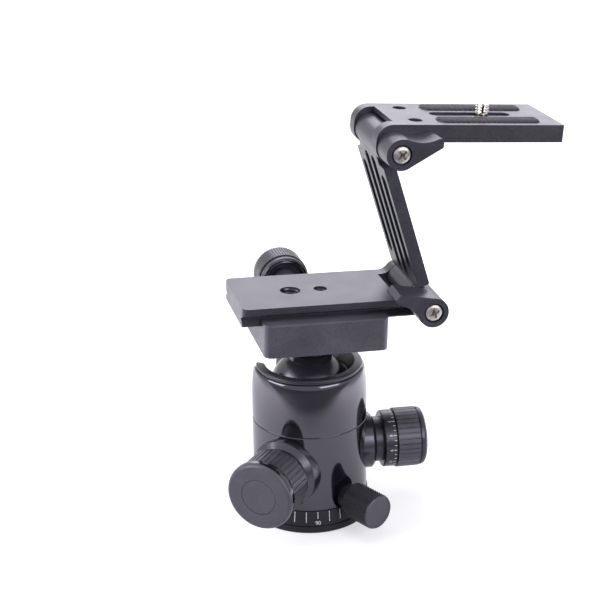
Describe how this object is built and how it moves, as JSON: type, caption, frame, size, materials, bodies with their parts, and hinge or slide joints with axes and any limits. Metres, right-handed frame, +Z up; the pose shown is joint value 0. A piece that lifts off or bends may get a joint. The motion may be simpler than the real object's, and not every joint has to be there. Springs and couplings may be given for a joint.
{
  "type": "tripod ball head with folding tilt bracket",
  "caption": "Ball head on a panning base with a screw clamp that holds a folding Z-shaped bracket, levers on its hinges and a slotted camera plate with a threaded stud.",
  "frame": {"origin": "centre of the tripod socket's mouth on the base's underside", "axes": "+Z up the panning axis, +X along the bracket's plates towards the camera plate's free end"},
  "size_m": [0.1608, 0.1207, 0.1959],
  "materials": {
    "gloss_black": "gloss anodised",
    "satin_black": "satin anodised",
    "rubber": "matt",
    "steel": "bright",
    "brass": "plain",
    "nylon": "plain"
  },
  "bodies": {
    "base": {"pan_base": "satin_black", "scale_ring": "satin_black", "pan_washer": "nylon", "pan_circlip": "steel"},
    "housing": {"lower_housing": "gloss_black", "upper_housing": "gloss_black", "lip_ring": "satin_black", "lock_collar": "satin_black", "drag_collar": "satin_black", "pan_boss": "satin_black", "cup_spring": "steel"},
    "lock_knob": {"lock_knob": "satin_black", "lock_grip": "rubber", "lock_cap": "satin_black", "lock_inlay": "satin_black", "lock_spindle": "steel"},
    "lock_cone": {"lock_cone": "brass"},
    "drag_knob": {"drag_ring": "satin_black", "drag_grip": "rubber", "drag_cap": "satin_black", "drag_spindle": "steel"},
    "drag_cone": {"drag_cone": "brass"},
    "pan_knob": {"pan_knob": "satin_black", "pan_spindle": "steel"},
    "pan_shoe": {"pan_shoe": "brass"},
    "cup": {"ball_cup": "nylon"},
    "ball": {"ball": "gloss_black"},
    "clamp": {"stem": "satin_black", "clamp_bolt": "steel", "clamp_body": "satin_black", "guide_pins": "steel", "clamp_screw": "steel"},
    "jaw": {"sliding_jaw": "satin_black"},
    "clamp_knob": {"clamp_knob": "satin_black", "clamp_knob_cap": "satin_black"},
    "bracket": {"bottom_plate": "satin_black", "lower_pin": "steel", "lower_washers": "nylon"},
    "lower_lever": {"lower_lever": "satin_black", "lower_lever_screw": "steel"},
    "arm": {"arm": "satin_black"},
    "camera_plate": {"top_plate": "satin_black", "upper_pin": "steel", "upper_washers": "nylon", "near_pad": "rubber", "far_pad": "rubber"},
    "upper_lever": {"upper_lever": "satin_black", "upper_lever_screw": "steel"},
    "screw_slider": {"screw_retainer": "nylon"},
    "camera_screw": {"camera_screw": "steel"}
  },
  "joints": [
    {"name": "pan_turn", "type": "hinge", "parent": "base", "child": "housing", "pos_m": [0, 0, 0], "axis": [0, 0, 1], "continuous": true},
    {"name": "lock_knob_turn", "type": "hinge", "parent": "housing", "child": "lock_knob", "pos_m": [-0.03442, -0.0403, 0.03], "axis": [-0.6494, -0.7604, 0], "range_deg": [0, 301]},
    {"name": "lock_cone_slide", "type": "slide", "parent": "housing", "child": "lock_cone", "axis": [-0.6494, -0.7604, 0], "range_m": [0, 0.00104]},
    {"name": "drag_knob_turn", "type": "hinge", "parent": "housing", "child": "drag_knob", "pos_m": [0.05559, -0.00486, 0.0325], "axis": [0.9962, -0.0872, 0], "range_deg": [0, 271]},
    {"name": "drag_cone_slide", "type": "slide", "parent": "housing", "child": "drag_cone", "axis": [0.9962, -0.0872, 0], "range_m": [0, 0.00075]},
    {"name": "pan_knob_turn", "type": "hinge", "parent": "housing", "child": "pan_knob", "pos_m": [0.02197, -0.04312, 0.015], "axis": [0.454, -0.891, 0], "range_deg": [0, 145]},
    {"name": "pan_shoe_slide", "type": "slide", "parent": "housing", "child": "pan_shoe", "axis": [0.454, -0.891, 0], "range_m": [0, 0.0004]},
    {"name": "ball_swing", "type": "hinge", "parent": "housing", "child": "cup", "pos_m": [0, 0, 0.063], "axis": [0, 0, 1], "range_deg": [-180, 0]},
    {"name": "ball_tilt", "type": "hinge", "parent": "cup", "child": "ball", "pos_m": [0, 0, 0.063], "axis": [-0.6428, -0.766, 0], "range_deg": [-22, 88]},
    {"name": "ball_spin", "type": "hinge", "parent": "ball", "child": "clamp", "pos_m": [0, 0, 0.063], "axis": [0.0349, 0, 0.9994], "continuous": true},
    {"name": "jaw_slide", "type": "slide", "parent": "clamp", "child": "jaw", "axis": [0, 1, 0], "range_m": [0, 0.004]},
    {"name": "clamp_knob_turn", "type": "hinge", "parent": "jaw", "child": "clamp_knob", "pos_m": [0.00121, 0.06, 0.09768], "axis": [0, 1, 0], "range_deg": [0, 963]},
    {"name": "plate_slide", "type": "slide", "parent": "clamp", "child": "bracket", "axis": [0.9994, 0, -0.0349], "range_m": [-0.01, 0.02]},
    {"name": "arm_fold", "type": "hinge", "parent": "bracket", "child": "arm", "pos_m": [0.04975, 0, 0.10929], "axis": [0, -1, 0], "range_deg": [-75, 40]},
    {"name": "lower_lever_turn", "type": "hinge", "parent": "bracket", "child": "lower_lever", "pos_m": [0.04975, 0, 0.10929], "axis": [0, -1, 0], "range_deg": [-70, 10]},
    {"name": "plate_fold", "type": "hinge", "parent": "arm", "child": "camera_plate", "pos_m": [0.03325, 0, 0.18411], "axis": [0, -1, 0], "range_deg": [-65, 100]},
    {"name": "upper_lever_turn", "type": "hinge", "parent": "camera_plate", "child": "upper_lever", "pos_m": [0.03325, 0, 0.18411], "axis": [0, -1, 0], "range_deg": [-10, 70]},
    {"name": "camera_screw_slide", "type": "slide", "parent": "camera_plate", "child": "screw_slider", "axis": [0.9976, 0, -0.0698], "range_m": [-0.0215, 0.0098]},
    {"name": "camera_screw_turn", "type": "hinge", "parent": "screw_slider", "child": "camera_screw", "pos_m": [0.08263, 0, 0.19068], "axis": [0.0698, 0, 0.9976], "continuous": true}
  ],
  "couplings": [
    {"joint": "lock_knob_turn", "follows": "lock_cone_slide", "rad_per_m": 5026.5},
    {"joint": "drag_knob_turn", "follows": "drag_cone_slide", "rad_per_m": 6283.2},
    {"joint": "pan_knob_turn", "follows": "pan_shoe_slide", "rad_per_m": 6283.2},
    {"joint": "clamp_knob_turn", "follows": "jaw_slide", "rad_per_m": 4188.8}
  ]
}
